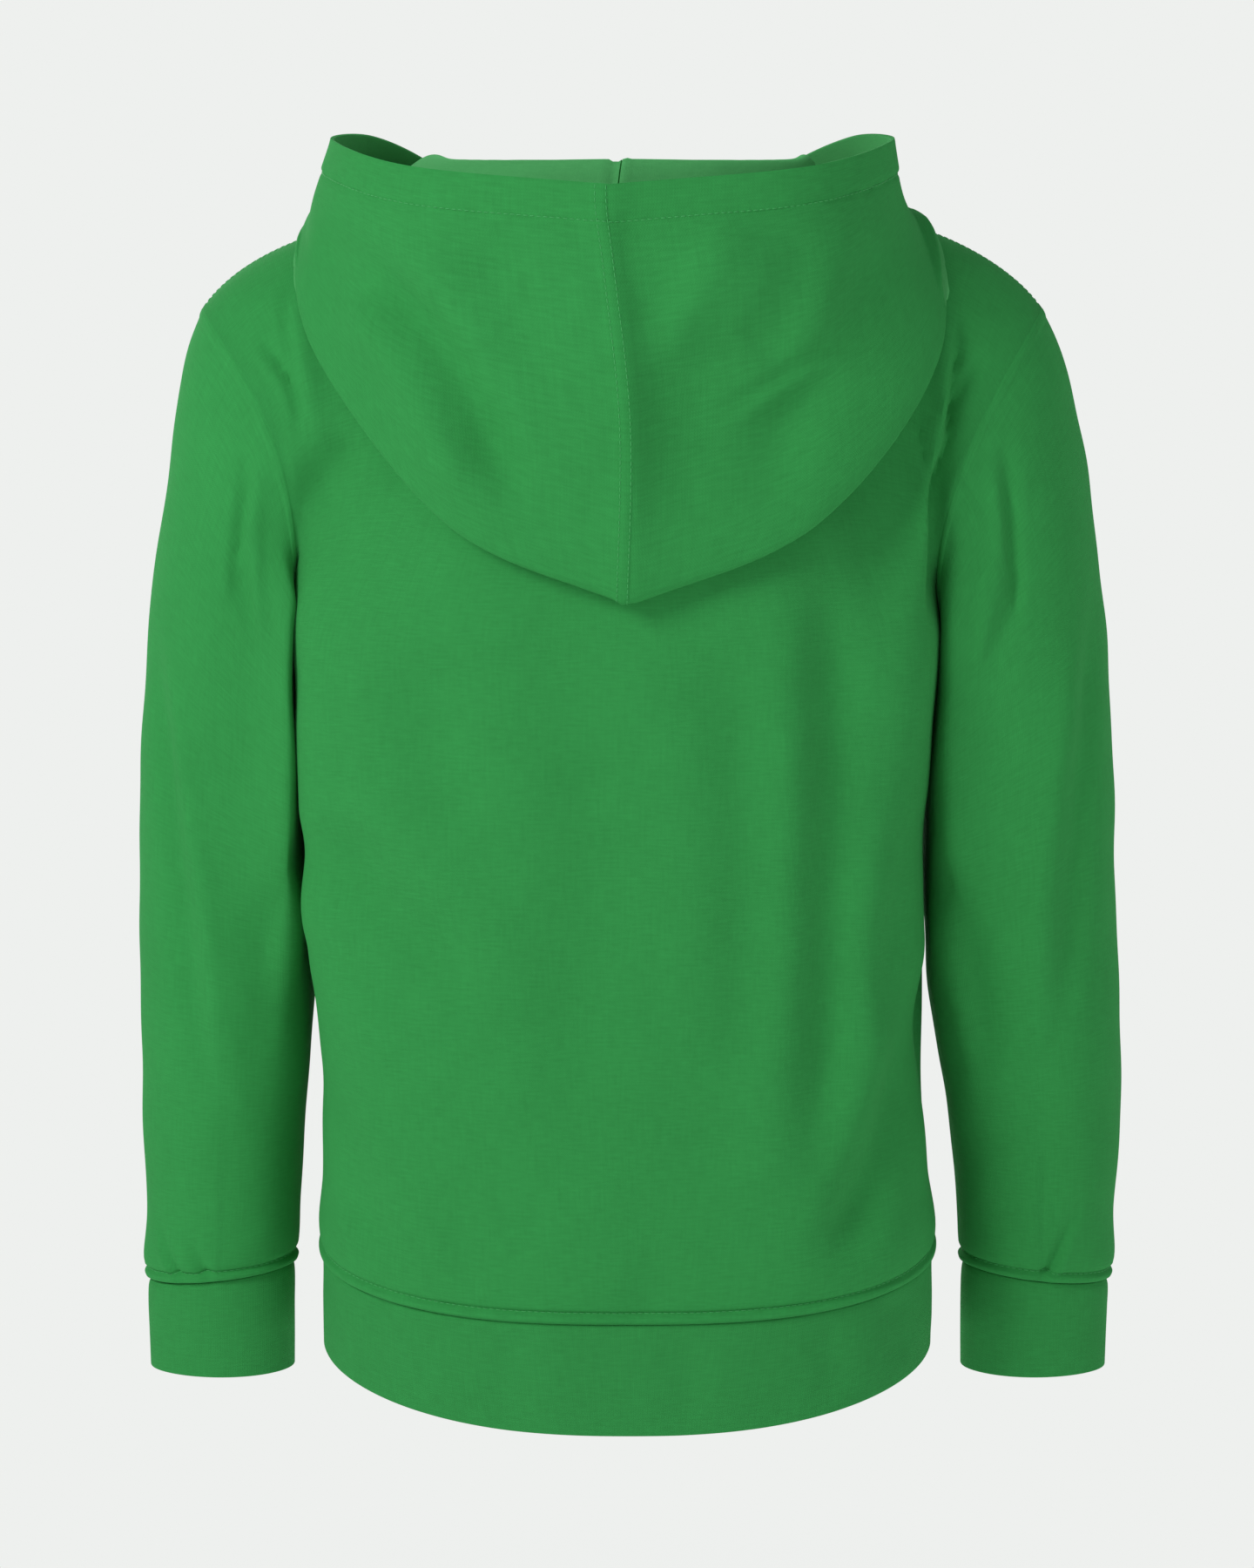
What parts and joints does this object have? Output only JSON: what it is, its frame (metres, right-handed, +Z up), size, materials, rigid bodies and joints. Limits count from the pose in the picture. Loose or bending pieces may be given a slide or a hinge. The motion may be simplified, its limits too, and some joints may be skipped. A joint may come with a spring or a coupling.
{
  "type": "zip-up hoodie",
  "caption": "Hooded sweatshirt in its worn, hollow form, with a full-length front zip, ribbed cuffs and waistband, and the hood lying down on the back.",
  "frame": {"origin": "between the two shoulder seams, at the height where the wearer's shoulders hold the garment up", "axes": "+Z up towards the hood, +Y towards the wearer's back, +X towards the wearer's left"},
  "size_m": [0.5737, 0.2785, 0.7205],
  "materials": {
    "fleece": "green sweatshirt fleece, fine jersey face, matt",
    "rib": "green fine rib knit, folded double, matt",
    "zip_tape": "green woven tape",
    "zip_teeth": "green moulded teeth, satin",
    "zip_metal": "cast metal, satin"
  },
  "bodies": {
    "garment": {"back": "fleece", "front_left": "fleece", "front_right": "fleece", "sleeve_left": "fleece", "sleeve_right": "fleece", "hood_left": "fleece", "hood_right": "fleece", "cuff_left": "rib", "cuff_right": "rib", "waistband": "rib", "zip_tape_left": "zip_tape", "zip_tape_right": "zip_tape", "zip_chain": "zip_teeth", "zip_box": "zip_teeth", "zip_slider": "zip_metal"},
    "pull_tab": {"zip_pull": "zip_metal"}
  },
  "joints": [
    {"name": "pull_tab_hinge", "type": "hinge", "parent": "garment", "child": "pull_tab", "pos_m": [0, -0.09921, -0.06836], "axis": [-1, 0, 0], "range_deg": [0, 140]}
  ]
}
